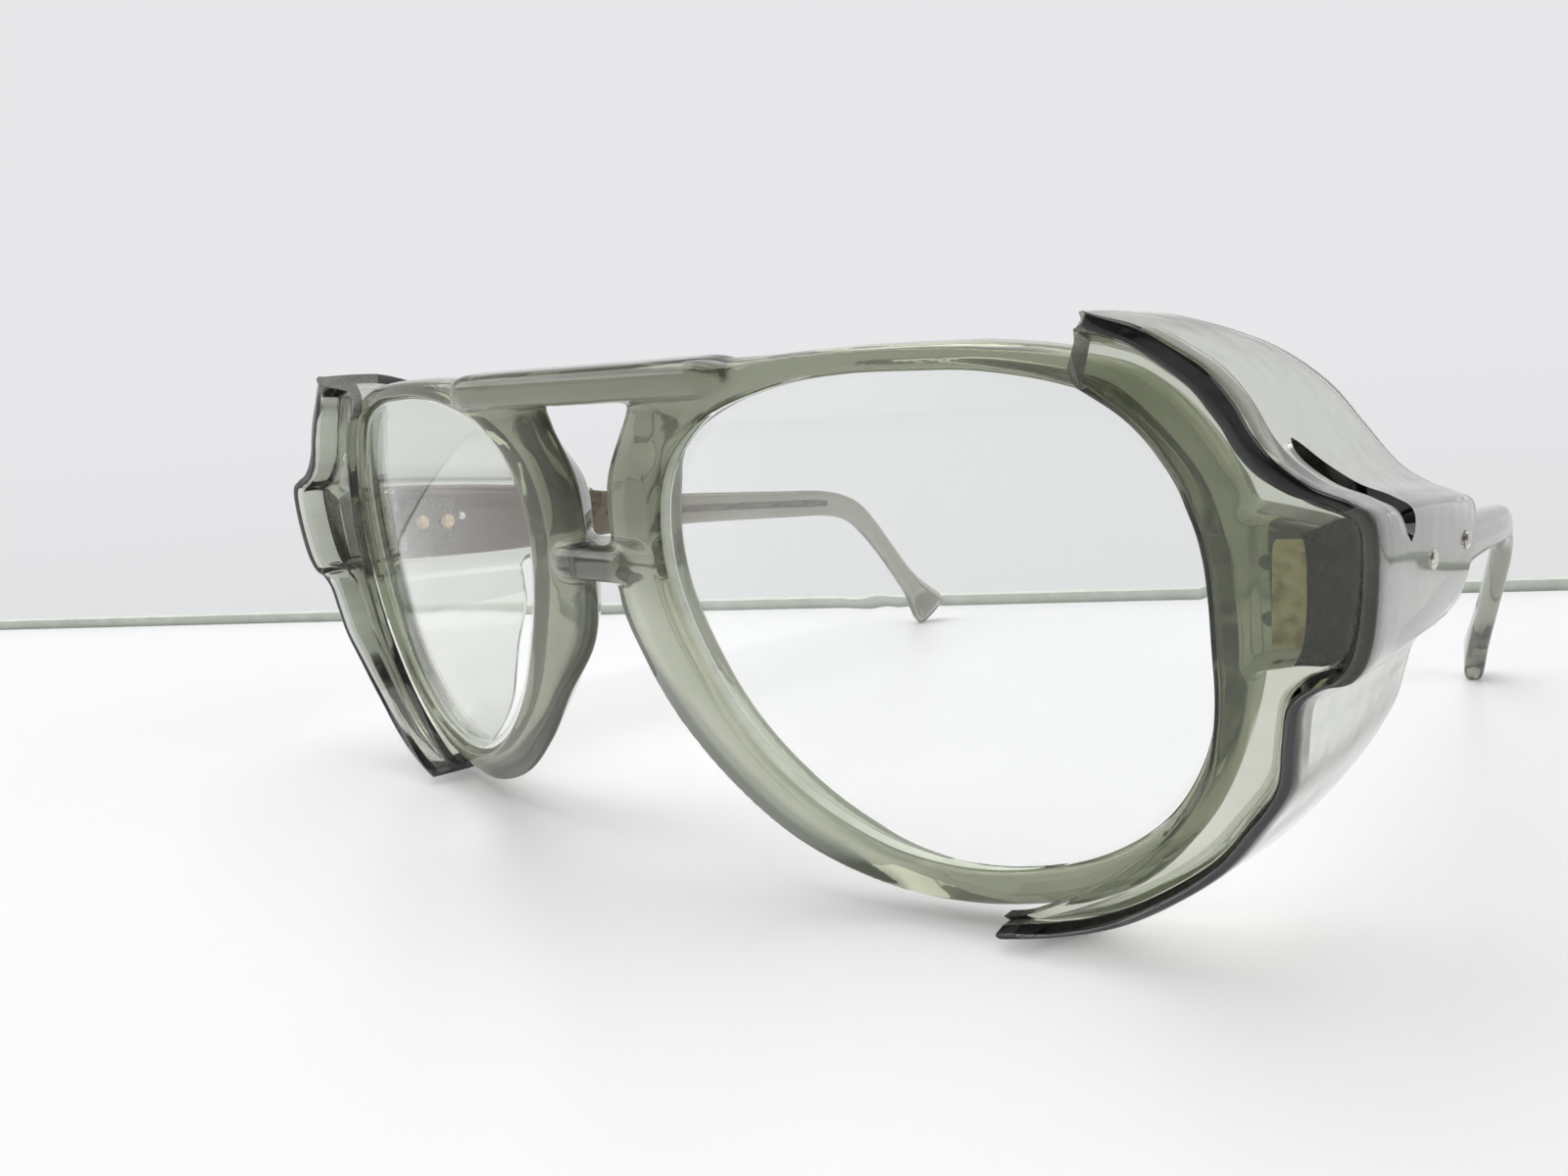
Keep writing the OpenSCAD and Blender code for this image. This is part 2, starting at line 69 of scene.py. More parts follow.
def camera():
    az, el, roll = map(math.radians, (44.449, 13.213, -7.69))
    f = Vector((-math.sin(az) * math.cos(el), math.cos(az) * math.cos(el), -math.sin(el)))
    r = Vector((math.cos(az), math.sin(az), 0))
    u = r.cross(f)
    right = math.cos(roll) * r + math.sin(roll) * u
    up = -math.sin(roll) * r + math.cos(roll) * u
    lean = Matrix.Rotation(LEAN, 3, "X")
    m = Matrix((lean @ right, lean @ up, -(lean @ f))).transposed().to_4x4()
    m.translation = Vector(W([113.448, -89.431, 30.185])[0])
    data = bpy.data.cameras.new("photo_camera")
    data.sensor_width = 36
    data.lens = 1387.555 * 36 / 1600
    data.clip_start, data.clip_end = 0.01, 20
    cam = bpy.data.objects.new("photo_camera", data)
    cam.matrix_world = m
    scene.collection.objects.link(cam)
    scene.camera = cam


camera()

# ---------------------------------------------------------------- curves
def cr(a, b, c, d, t):
    return 0.5 * (2 * b + (c - a) * t + (2 * a - 5 * b + 4 * c - d) * t ** 2 + (3 * b - a - 3 * c + d) * t ** 3)


def ring_spline(P, n):
    P = np.array(P, float)
    m = len(P)
    return np.array([cr(P[i - 1], P[i], P[(i + 1) % m], P[(i + 2) % m], k / n) for i in range(m) for k in range(n)])


def open_spline(P, n):
    P = np.array(P, float)
    m = len(P)
    out = [cr(P[max(i - 1, 0)], P[i], P[i + 1], P[min(i + 2, m - 1)], k / n) for i in range(m - 1) for k in range(n)]
    return np.array(out + [P[-1]])


def unit(v):
    v = np.asarray(v, float)
    return v / max(np.linalg.norm(v), 1e-9)


def face_y(x, z):
    b = min(max(abs(x), 13.4), 62) - 37
    t = min(max(abs(x) - 62, 0), 15)
    return 0.2 * b + b * b / 236 + 0.412 * t - 0.0137 * t * t + z * z / 300


def at(p, d):
    return np.array([p[0], face_y(p[0], p[1]) + d, p[1]])


def soften(P, radii, k=4):
    """A closed outline with each corner turned into a small arc."""
    P = [np.asarray(p, float) for p in P]
    n, out = len(P), []
    for i, p in enumerate(P):
        a, b = P[i - 1], P[(i + 1) % n]
        la, lb = np.linalg.norm(a - p), np.linalg.norm(b - p)
        t = min(radii[i], 0.45 * la, 0.45 * lb)
        q, s = p + (a - p) * t / max(la, 1e-9), p + (b - p) * t / max(lb, 1e-9)
        for h in np.linspace(0, 1, k):
            out.append((1 - h) ** 2 * q + 2 * h * (1 - h) * p + h * h * s)
    return out


def round_rect(a, b, r, k=5):
    out = []
    for q in range(4):
        cx = (1 if q in (0, 3) else -1) * (a / 2 - r)
        cz = (1 if q < 2 else -1) * (b / 2 - r)
        for s in range(k):
            t = math.radians(q * 90 + s * 90 / (k - 1))
            out.append((cx + r * math.cos(t), cz + r * math.sin(t)))
    return out


# ---------------------------------------------------------------- meshes
def mesh(name, verts, faces, mirror=False, place=True):
    """A closed mesh with its faces turned outwards."""
    v = np.asarray(verts, float).reshape(-1, 3).copy()
    if mirror:
        v[:, 0] *= -1
    if place:
        v = W(v)
    me = bpy.data.meshes.new(name)
    me.from_pydata([tuple(p) for p in v], [], [list(map(int, f)) for f in faces])
    bm = bmesh.new()
    bm.from_mesh(me)
    bmesh.ops.recalc_face_normals(bm, faces=bm.faces)
    bm.to_mesh(me)
    bm.free()
    ob = bpy.data.objects.new(name, me)
    scene.collection.objects.link(ob)
    return ob


def loft(rings, closed=False):
    rings = [np.asarray(r, float).reshape(-1, 3) for r in rings]
    n, m = len(rings), len(rings[0])
    verts = np.concatenate(rings)
    faces = []
    for i in range(n if closed else n - 1):
        j2 = (i + 1) % n
        for j in range(m):
            faces.append((i * m + j, i * m + (j + 1) % m, j2 * m + (j + 1) % m, j2 * m + j))
    if not closed:
        faces.append(tuple(range(m)))
        faces.append(tuple(range((n - 1) * m, n * m)))
    return verts, faces


def join(name, parts):
    """Several (verts, faces) as one mesh in the upright frame."""
    vs, fs, k = [], [], 0
    for v, f in parts:
        v = np.asarray(v, float)
        vs.append(v)
        fs += [tuple(i + k for i in g) for g in f]
        k += len(v)
    return np.concatenate(vs), fs


def flip(part):
    v, f = part
    v = np.array(v, float)
    v[:, 0] *= -1
    return v, [tuple(reversed(g)) for g in f]


def bake(ob):
    """Applies the object's modifiers to its mesh."""
    dg = bpy.context.evaluated_depsgraph_get()
    me = bpy.data.meshes.new_from_object(ob.evaluated_get(dg))
    ob.modifiers.clear()
    old = ob.data
    ob.data = me
    bpy.data.meshes.remove(old)
    return ob


def remesh(ob, voxel, smooth=4, factor=0.5):
    m = ob.modifiers.new("m", "REMESH")
    m.mode, m.voxel_size = "VOXEL", voxel / 1000
    if smooth:
        s = ob.modifiers.new("s", "SMOOTH")
        s.factor, s.iterations = factor, smooth
    return bake(ob)


def cut(ob, *cutters):
    for c in cutters:
        m = ob.modifiers.new("b", "BOOLEAN")
        m.operation, m.object, m.solver = "DIFFERENCE", c, "EXACT"
        bake(ob)
        bpy.data.objects.remove(c)
    return ob


def smooth(ob, angle=None):
    ob.data.polygons.foreach_set("use_smooth", [True] * len(ob.data.polygons))
    if angle is not None:
        ob.data.set_sharp_from_angle(angle=math.radians(angle))
    return ob


def level(ob):
    """Nothing reaches below the surface that the spectacles stand on."""
    for v in ob.data.vertices:
        if v.co.z < 0:
            v.co.z = 0
    return ob


def piece(ob, body, mats, slot, *nodes):
    ob.data.materials.clear()
    for m in mats if isinstance(mats, (list, tuple)) else [mats]:
        ob.data.materials.append(m)
    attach(ob, body)
    if nodes:
        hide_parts(*nodes)
    return ob


# ---------------------------------------------------------------- materials
def material(name):
    m = bpy.data.materials.new(name)
    m.use_nodes = True
    t = m.node_tree
    return m, t, t.nodes["Principled BSDF"], t.nodes["Material Output"]


def noise(t, scale, detail=3, coord="Object", rough=0.5, stretch=None):
    c = t.nodes.new("ShaderNodeTexCoord")
    n = t.nodes.new("ShaderNodeTexNoise")
    n.inputs["Scale"].default_value = scale
    n.inputs["Detail"].default_value = detail
    n.inputs["Roughness"].default_value = rough
    if stretch:
        mp = t.nodes.new("ShaderNodeMapping")
        mp.inputs["Scale"].default_value = stretch
        t.links.new(c.outputs[coord], mp.inputs["Vector"])
        t.links.new(mp.outputs["Vector"], n.inputs["Vector"])
    else:
        t.links.new(c.outputs[coord], n.inputs["Vector"])
    return n


def ramp(t, src, stops):
    r = t.nodes.new("ShaderNodeValToRGB")
    e = r.color_ramp.elements
    while len(e) > 1:
        e.remove(e[-1])
    e[0].position, e[0].color = stops[0][0], (*stops[0][1], 1)
    for p, c in stops[1:]:
        k = e.new(p)
        k.color = (*c, 1)
    t.links.new(src, r.inputs["Fac"])
    return r


def bump(t, bsdf, src, strength, distance):
    b = t.nodes.new("ShaderNodeBump")
    b.inputs["Strength"].default_value = strength
    b.inputs["Distance"].default_value = distance
    t.links.new(src, b.inputs["Height"])
    t.links.new(b.outputs["Normal"], bsdf.inputs["Normal"])


def clear_plastic(name, tint_a, tint_b, ior, rough, absorb, density, wave=0.00004, grain=900, transmission=1.0, level=0.5):
    """Polished see-through plastic: faint streaks of tint, a slightly wavy surface and fine scratches."""
    m, t, p, out = material(name)
    p.inputs["Transmission Weight"].default_value = transmission
    p.inputs["IOR"].default_value = ior
    p.inputs["Specular IOR Level"].default_value = level
    n = noise(t, 60, 3, stretch=(1, 1, 3))
    r = ramp(t, n.outputs["Fac"], [(0.35, tint_a), (0.65, tint_b)])
    t.links.new(r.outputs["Color"], p.inputs["Base Color"])
    s = noise(t, grain, 4, rough=0.6)
    q = ramp(t, s.outputs["Fac"], [(0.45, (rough,) * 3), (0.8, (rough * 2.2 + 0.01,) * 3)])
    t.links.new(q.outputs["Color"], p.inputs["Roughness"])
    w = noise(t, 95, 2)
    bump(t, p, w.outputs["Fac"], 0.6, wave)
    if density:
        v = t.nodes.new("ShaderNodeVolumeAbsorption")
        v.inputs["Color"].default_value = (*absorb, 1)
        v.inputs["Density"].default_value = density
        t.links.new(v.outputs["Volume"], out.inputs["Volume"])
    return m


ACETATE = clear_plastic("acetate_front", (0.81, 0.85, 0.70), (0.87, 0.905, 0.76), 1.49, 0.035, (0.38, 0.395, 0.29), 110, transmission=0.82)
TEMPLE = clear_plastic("acetate_temple", (0.70, 0.70, 0.64), (0.77, 0.77, 0.71), 1.49, 0.05, (0.40, 0.41, 0.34), 330, transmission=0.84)


def shade(m, places):
    """Patches of painted light and shade about some places of a piece: each is a centre and half sizes in row-frame
    millimetres, and two tints.
    """
    t = m.node_tree
    p = t.nodes["Principled BSDF"]
    c = t.nodes.new("ShaderNodeTexCoord")
    for centre, size, inside, outside, lo, hi in places:
        a = t.nodes.new("ShaderNodeVectorMath")
        a.operation = "SUBTRACT"
        a.inputs[1].default_value = [v / 1000 for v in centre]
        t.links.new(c.outputs["Object"], a.inputs[0])
        b = t.nodes.new("ShaderNodeVectorMath")
        b.operation = "MULTIPLY"
        b.inputs[1].default_value = [1000 / v for v in size]
        t.links.new(a.outputs["Vector"], b.inputs[0])
        d = t.nodes.new("ShaderNodeVectorMath")
        d.operation = "LENGTH"
        t.links.new(b.outputs["Vector"], d.inputs[0])
        k = ramp(t, d.outputs["Value"], [(lo, inside), (hi, outside)])
        mix = t.nodes.new("ShaderNodeMix")
        mix.data_type, mix.blend_type = "RGBA", "MULTIPLY"
        mix.inputs["Factor"].default_value = 1
        t.links.new(p.inputs["Base Color"].links[0].from_socket, mix.inputs["A"])
        t.links.new(k.outputs["Color"], mix.inputs["B"])
        t.links.new(mix.outputs["Result"], p.inputs["Base Color"])


# painted light and shade: pale low on the nose side of the rims where light comes through, olive elsewhere, and
# painted shade in the saddle bar and about it, on the bridge flanks, along the brow bar and low on the right rim's
# nose side
shade(ACETATE, [((0, -58, 12), (60, 90, 40), (1, 1, 1), (0.555, 0.565, 0.515), 0.42, 0.68),
                ((0, -64, 34), (5.6, 9, 2.9), (0.30, 0.30, 0.33), (1, 1, 1), 0.70, 1.0),
                ((0, -60, 42), (15, 14, 10), (0.66, 0.665, 0.64), (1, 1, 1), 0.55, 1.0),
                ((0, -62, 53), (26, 12, 6), (0.80, 0.80, 0.79), (1, 1, 1), 0.70, 1.0),
                ((-24, -60, 20), (26, 30, 26), (0.66, 0.66, 0.65), (1, 1, 1), 0.60, 1.0)])
# browner towards the front ends of the temples, and browner still at the right temple's front end, a painted
# reflection
shade(TEMPLE, [((0, -44, 34), (150, 70, 150), (0.36, 0.29, 0.23), (1, 1, 1), 0.50, 1.0),
               ((-76, -44, 34), (60, 70, 150), (0.62, 0.50, 0.40), (1, 1, 1), 0.50, 1.0)])


def paint_edge_shade(m, inside):
    """Painted shade: multiplies the colour by inside where the mesh's own "edge" value is 1."""
    t = m.node_tree
    p = t.nodes["Principled BSDF"]
    a = t.nodes.new("ShaderNodeAttribute")
    a.attribute_name = "edge"
    k = ramp(t, a.outputs["Fac"], [(0.0, (1, 1, 1)), (1.0, inside)])
    mix = t.nodes.new("ShaderNodeMix")
    mix.data_type, mix.blend_type = "RGBA", "MULTIPLY"
    mix.inputs["Factor"].default_value = 1
    t.links.new(p.inputs["Base Color"].links[0].from_socket, mix.inputs["A"])
    t.links.new(k.outputs["Color"], mix.inputs["B"])
    t.links.new(mix.outputs["Result"], p.inputs["Base Color"])


# painted shade in a narrow band along the outer edge of each rim, low on the nose side
paint_edge_shade(ACETATE, (0.34, 0.35, 0.36))
SHIELD = clear_plastic("clear_shield", (0.93, 0.94, 0.91), (0.97, 0.98, 0.95), 1.50, 0.06, (0.5, 0.53, 0.42), 300, wave=0.00008)
def ground_edge():
    """The lens's matt ground edge, which takes the colour of the rim behind it: painted light, the olive light that
    comes through the rim.
    """
    m, t, p, out = material("lens_edge")
    n = noise(t, 260, 4, stretch=(1, 1, 2))
    r = ramp(t, n.outputs["Fac"], [(0.35, (0.64, 0.67, 0.55)), (0.65, (0.76, 0.79, 0.67))])
    t.links.new(r.outputs["Color"], p.inputs["Base Color"])
    f = noise(t, 4000, 2)
    q = ramp(t, f.outputs["Fac"], [(0.4, (0.5,) * 3), (0.7, (0.65,) * 3)])
    t.links.new(q.outputs["Color"], p.inputs["Roughness"])
    return m


LENS_EDGE_RIM_LIGHT = ground_edge()
LENS = clear_plastic("lens", (0.985, 0.99, 0.985), (0.995, 1.0, 0.995), 1.50, 0.0, (0.6, 0.75, 0.65), 12, wave=0.0, grain=1500)


# painted shade on the clear shield's lip bead: near black along the top, grey-blue low down and dark olive beside the
# endpiece, standing in for the darkness refraction gives the bead
LIP_SHADE = clear_plastic("shield_lip_painted_shade", (0.008, 0.009, 0.010), (0.028, 0.031, 0.035), 1.50, 0.07, (0.5, 0.52, 0.46), 220, wave=0.00006, level=0.1)
LIP_LOW_SHADE = clear_plastic("shield_lip_low", (0.14, 0.147, 0.155), (0.20, 0.208, 0.215), 1.50, 0.10, (0.5, 0.52, 0.46), 220, wave=0.00006, level=0.3, transmission=0.68)
LIP_SIDE_SHADE = clear_plastic("shield_lip_side", (0.070, 0.073, 0.060), (0.105, 0.108, 0.092), 1.50, 0.22, (0.5, 0.52, 0.46), 220, wave=0.00006, level=0.25, transmission=0.25)
CLEAR_TINT = clear_plastic("shield_flange", (0.72, 0.74, 0.655), (0.80, 0.82, 0.735), 1.50, 0.06, (0.5, 0.53, 0.42), 260, wave=0.00006)
# painted shade: the lower end of the clear shield painted near black
TIP_SHADE = clear_plastic("shield_tip_painted_shade", (0.022, 0.023, 0.022), (0.045, 0.047, 0.044), 1.50, 0.2, (0.5, 0.53, 0.42), 260, wave=0.00006, level=0.3, transmission=0.1)
CUT_END = clear_plastic("shield_cut_end", (0.76, 0.78, 0.69), (0.84, 0.86, 0.77), 1.50, 0.2, (0.5, 0.53, 0.42), 260, wave=0.00006, level=0.3, transmission=0.75)


def metal(name, base, dark, rough, grain=2600, stretch=(1, 1, 1), scratch=0.00001):
    m, t, p, out = material(name)
    p.inputs["Metallic"].default_value = 1
    n = noise(t, grain, 4, stretch=stretch)
    r = ramp(t, n.outputs["Fac"], [(0.3, dark), (0.62, base)])
    t.links.new(r.outputs["Color"], p.inputs["Base Color"])
    q = ramp(t, n.outputs["Fac"], [(0.3, (min(rough * 1.8, 1),) * 3), (0.7, (rough,) * 3)])
    t.links.new(q.outputs["Color"], p.inputs["Roughness"])
    bump(t, p, n.outputs["Fac"], 0.4, scratch)
    return m


STEEL = metal("hinge_steel", (0.34, 0.33, 0.30), (0.12, 0.11, 0.09), 0.36)
LEAF = metal("hinge_leaf", (0.17, 0.155, 0.12), (0.06, 0.052, 0.038), 0.42)
SCREW = metal("screw_steel", (0.66, 0.65, 0.63), (0.35, 0.33, 0.30), 0.22)
WIRE = metal("wire", (0.42, 0.40, 0.36), (0.22, 0.20, 0.17), 0.38, stretch=(1, 0.1, 1))
RIVET = metal("rivet_steel", (0.76, 0.74, 0.69), (0.42, 0.39, 0.34), 0.2)
DULL = metal("rivet_dull", (0.60, 0.60, 0.50), (0.42, 0.42, 0.34), 0.5)
BRASS = metal("brass", (0.66, 0.52, 0.30), (0.33, 0.22, 0.12), 0.28)


def label_material():
    """A thin tan foil with worn edges, faint stains and darker specks."""
    m, t, p, out = material("label")
    n = noise(t, 700, 4)
    r = ramp(t, n.outputs["Fac"], [(0.36, (0.38, 0.33, 0.16)), (0.5, (0.62, 0.56, 0.31)), (0.66, (0.75, 0.69, 0.43))])
    t.links.new(r.outputs["Color"], p.inputs["Base Color"])
    p.inputs["Roughness"].default_value = 0.42
    f = noise(t, 3500, 3)
    bump(t, p, f.outputs["Fac"], 0.5, 0.00003)
    return m


LABEL = label_material()

# ---------------------------------------------------------------- front
RIM = [
    (64.3, 0, 66.9, 0.2, 67.6, 0.2, 1, 5, 5, 0), (63.8, 5, 66.6, 6.2, 67.3, 6.5, 1, 5, 4.9, 0),
    (62, 10.3, 64.8, 11.8, 65.6, 12.1, 1, 4.7, 4.2, 0.5), (57.5, 16, 60, 17.6, 60.8, 18.1, 1, 4.6, 4, 0.6),
    (53.5, 18.2, 54.6, 20.1, 54.9, 20.6, 1.5, 4.8, 4.6, 0.2), (47, 19.8, 47.5, 21.5, 47.7, 21.9, 1.5, 5, 5, 0),
    (41, 20.3, 41, 22.1, 41, 22.4, 1.5, 5, 5, 0), (34.5, 20.5, 34.2, 22.3, 34.1, 22.6, 1.5, 5, 5, 0),
    (28, 20, 27.3, 22.2, 27.1, 22.5, 1.5, 4.6, 4.6, 0), (21, 18.3, 18.8, 21.6, 18, 22.2, 1.5, 4.3, 4.3, 0.2),
    (16.5, 16.2, 12.2, 19.6, 8.4, 20.2, 1.5, 4.6, 4.6, 3.2), (13, 13, 8.6, 15, 5.3, 16, 1.5, 5.4, 5.6, 4.4),
    (11.2, 9, 7, 10, 2.5, 11, 1.5, 6, 6.6, 4.4), (10.7, 4, 6.6, 4.5, 1.9, 5, 1.5, 6, 6.9, 4.9),
    (11.4, -1, 7.2, -1.5, 1.9, -2.2, 1.6, 6, 6.9, 5.3), (13.6, -6.8, 9.3, -7.2, 4, -7.8, 1.5, 6, 6.8, 5.1),
    (17, -13, 12.8, -13.4, 8.8, -13.7, 0.3, 6, 6.5, 4.7), (21.5, -18.2, 18, -19.2, 14.9, -20.4, 0.2, 6, 5.9, 4.2),
    (27.3, -22.6, 24.9, -24.5, 22.9, -26.3, 0.2, 5.8, 5.4, 3.2), (34.6, -25.8, 33.7, -27.7, 33, -29.8, 0.3, 5.4, 5, 1.9),
    (43.3, -26.6, 43.2, -28.5, 43.3, -30.6, 1.3, 5, 5, 0.9), (52.5, -24.5, 53.6, -26.5, 54.6, -27.8, 1.6, 4.6, 3.8, 1.2),
    (59, -20.2, 60.4, -21, 61.4, -21.4, 1, 4.4, 3.3, 1), (62.8, -14, 64.6, -14.3, 65.3, -14.4, 1, 4.5, 4, 0.6),
    (64.2, -7, 66.1, -7, 66.9, -7, 1, 5, 5, 0)]
END_BACK = 15.4


def rim():
    rings = []
    for s in ring_spline(RIM, 12):
        i, f, o = s[0:2], s[2:4], s[4:6]
        u = unit(o - i)
        pts = [at(i, 0.5), at(i + 0.4 * u, 0), at(f, 0), at(0.45 * f + 0.55 * o, s[6] * 0.35), at(o, s[6]),
               at(o - (s[9] + 0.15) * u, s[8] - 0.1), at(i + 0.6 * u, s[7]),
               at(i + 0.1 * u, s[7] - 0.5), at(i, 3.2), at(i, 2.4), at(i, 1.6)]
        r = [0.3, 0.3, 0.3, 0.5, 0.45, 1.1, 0.35, 0.4, 0, 0, 0]
        rings.append(soften(pts, r, 4))
    return loft(rings, True)


def brow_bar():
    xs = [-22.6, -22.5, -22.3, -22, -21.5, -20.8, -19.8, -18.5, -16, -12, -8, -4, 0]
    xs = xs + [-x for x in reversed(xs[:-1])]
    rings = []
    for x in xs:
        e = 1 - max(0, abs(x) - 19.5) / 3.15
        k = 0.2 + 0.8 * math.sqrt(max(0, e))
        fr, bk = face_y(x, 20.6) - 1.6 * k, face_y(x, 20.6) + 4.2
        rings.append([(x, (fr + bk) / 2 + a, 21 + b) for a, b in round_rect(bk - fr, 3.9 * k, 1.55 * k, 8)])
    return loft(rings)


def saddle_bar():
    rings = []
    for x in np.linspace(-9, 9, 37):
        k = min(1, max(0, abs(x) - 4.8) / 2.6)
        fr = face_y(x, 2) - 0.9 + 1.2 * k * k * (3 - 2 * k)
        rings.append([(x, (fr + 3.9) / 2 + a, 2.25 + b) for a, b in round_rect(3.9 - fr, 4, 1.5, 8)])
    return loft(rings)


def endpiece():
    rings = []
    for x, dip in ((64.6, 0), (65, 0), (65.4, 0), (65.8, 0), (66.1, 0), (66.4, 0), (66.8, 0), (67.2, 0), (68, 0),
                   (69, 0), (70.5, 0), (71.4, 0), (72, 0), (72.6, 0.12), (73.1, 0.35), (73.5, 0.65), (73.9, 1.1),
                   (74.15, 1.6), (74.3, 2.2)):
        h = min(1, max(0, (x - 64.6) / 2.2))
        back = END_BACK - 2 * (1 - h * h * (3 - 2 * h))
        top, low = 7.4 - (x - 66) * 0.23, -6.4 + (x - 66) * 0.21
        ring = []
        for a, b in round_rect(2, top - low, 0.8, 6):
            z = (top + low) / 2 + b
            fr = face_y(x, z) + dip
            ring.append((x, fr + (a + 1) if a < 0 else back - (1 - a), z))
        rings.append(ring)
    return loft(rings)


def fillet(ob):
    """Rounds the joins of the bars and the endpieces with the rims."""
    n = len(ob.data.vertices)
    co = np.empty(n * 3)
    ob.data.vertices.foreach_get("co", co)
    co = co.reshape(-1, 3) * 1000
    x = np.abs(co[:, 0])
    z = (co[:, 2] - RISE) * CL - (co[:, 1] - SHIFT_Y) * SL

    def window(v, lo, hi, soft):
        return np.clip((v - lo) / soft, 0, 1) * np.clip((hi - v) / soft, 0, 1)

    w = window(x, -20, 10.5, 1.5) * window(z, -2.5, 6.5, 1.5)
    w = np.maximum(w, window(x, 3, 21, 2) * window(z, 16.2, 20.4, 1.2))
    w = np.maximum(w, 0.8 * window(x, 18.5, 25, 1.5) * window(z, 17.5, 26, 1.0))
    w = np.maximum(w, 0.9 * window(x, 63.6, 69, 1.5) * window(z, -9, 10, 1.5))
    g = ob.vertex_groups.new(name="fillet")
    for k in range(1, 11):
        ids = np.nonzero(np.round(w * 10) == k)[0]
        if len(ids):
            g.add([int(i) for i in ids], k / 10, "REPLACE")
    m = ob.modifiers.new("f", "SMOOTH")
    m.factor, m.iterations, m.vertex_group = 0.5, 45, "fillet"
    bake(ob)


def mark_edge_shade(ob):
    """Marks a narrow band along the outer edge of each rim, low on the nose side, where the plastic is darkened with
    painted shade.
    """
    n = len(ob.data.vertices)
    co = np.empty(n * 3, np.float32)
    ob.data.vertices.foreach_get("co", co)
    co = co.reshape(-1, 3).astype(float) * 1000
    x = np.abs(co[:, 0])
    y = (co[:, 1] - SHIFT_Y) * CL + (co[:, 2] - RISE) * SL
    z = (co[:, 2] - RISE) * CL - (co[:, 1] - SHIFT_Y) * SL
    b = np.clip(x, 13.4, 62) - 37
    d = y - (0.2 * b + b * b / 236 + z * z / 300)
    line = ring_spline(RIM, 12)[12 * 12:19 * 12, 4:6]
    near = np.full(n, 99.0)
    for q in line:
        near = np.minimum(near, np.hypot(x - q[0], z - q[1]))
    w = np.clip(1 - (near - 1.7) / 1.3, 0, 1) * np.clip((4.2 - d) / 1.5, 0, 1) * np.clip((3.5 - z) / 5, 0, 1)
    w = w * w * (3 - 2 * w)
    ob.data.attributes.new("edge", "FLOAT", "POINT").data.foreach_set("value", w.astype(np.float32))


def front():
    r, e = rim(), endpiece()
    v, f = join("front", [r, flip(r), brow_bar(), saddle_bar(), e, flip(e)])
    ob = mesh("vis_front", v, f)
    remesh(ob, 0.22, 4, 0.5)
    fillet(ob)
    mark_edge_shade(ob)
    smooth(ob)
    return piece(ob, "front", ACETATE, "acetate_front", "front_frame")


front()


def lens(side):
    c = np.array([37.0, -2.0])
    rs = ring_spline(RIM, 12)
    n = len(rs)

    def edge(s, out):
        i = s[0:2]
        return i + out * unit(s[4:6] - i)

    def inner(s, k):
        return c + (edge(s, -0.30) - c) * k

    f, b = 0.9, 3.9
    prof = [(-0.30, f), (-0.16, f + 0.04), (-0.08, f + 0.16), (-0.06, f + 0.4), (-0.06, b - 0.4), (-0.08, b - 0.16),
            (-0.16, b - 0.04), (-0.30, b)]
    rings = [[at(inner(s, k), f) for s in rs] for k in (0.15, 0.35, 0.55, 0.75, 0.9, 0.97)]
    rings += [[at(edge(s, o), d) for s in rs] for o, d in prof]
    rings += [[at(inner(s, k), b) for s in rs] for k in (0.97, 0.9, 0.75, 0.55, 0.35, 0.15)]
    m = len(rings)
    verts = np.concatenate([[at(c, f)]] + [np.array(r) for r in rings] + [[at(c, b)]])
    faces = [(0, 1 + (j + 1) % n, 1 + j) for j in range(n)]
    for i in range(m - 1):
        for j in range(n):
            p, q = 1 + i * n + j, 1 + i * n + (j + 1) % n
            faces.append((p, q, q + n, p + n))
    faces += [(1 + m * n, 1 + (m - 1) * n + j, 1 + (m - 1) * n + (j + 1) % n) for j in range(n)]
    ob = mesh("vis_lens_" + side, verts, faces, side == "right")
    smooth(ob, 32)
    piece(ob, "front", [LENS, LENS_EDGE_RIM_LIGHT], "lens", "lens_" + side)
    for k in range(n + 7 * n, n + 11 * n):
        ob.data.polygons[k].material_index = 1
    ob.visible_shadow = False
    return ob


for side in ("left", "right"):
    lens(side)


def label():
    """The plain foil inlay on the left endpiece, with slightly uneven edges."""
    nx, nz = 10, 40
    verts, faces = [], []
    zs = np.linspace(-3.75, 4.95, nz)
    for k, d in ((0, -0.16), (1, 0.3)):
        for iz, z in enumerate(zs):
            for ix in range(nx):
                u = ix / (nx - 1)
                trim = 0.22 * max(0, 1 - min(iz, nz - 1 - iz) / 1.5)
                lo, hi = 69.03 + trim, 71.57 - trim
                x = lo + (hi - lo) * u + z * 0.05 + 0.035 * math.sin(z * 5.1 + u * 2) * math.sin(z * 2.3)
                verts.append((x, face_y(x, z) + d, z))
    n = nx * nz
    for iz in range(nz - 1):
        for ix in range(nx - 1):
            a = iz * nx + ix
            faces.append((a, a + 1, a + nx + 1, a + nx))
            faces.append((n + a, n + a + nx, n + a + nx + 1, n + a + 1))
    rim_ids = list(range(nx)) + [i * nx + nx - 1 for i in range(1, nz)] + \
        [(nz - 1) * nx + i for i in range(nx - 2, -1, -1)] + [i * nx for i in range(nz - 2, 0, -1)]
    for i, a in enumerate(rim_ids):
        b = rim_ids[(i + 1) % len(rim_ids)]
        faces.append((a, b, b + n, a + n))
    ob = mesh("vis_label", verts, faces)
    smooth(ob, 35)
    return piece(ob, "front", LABEL, "label", "label_plate")


label()

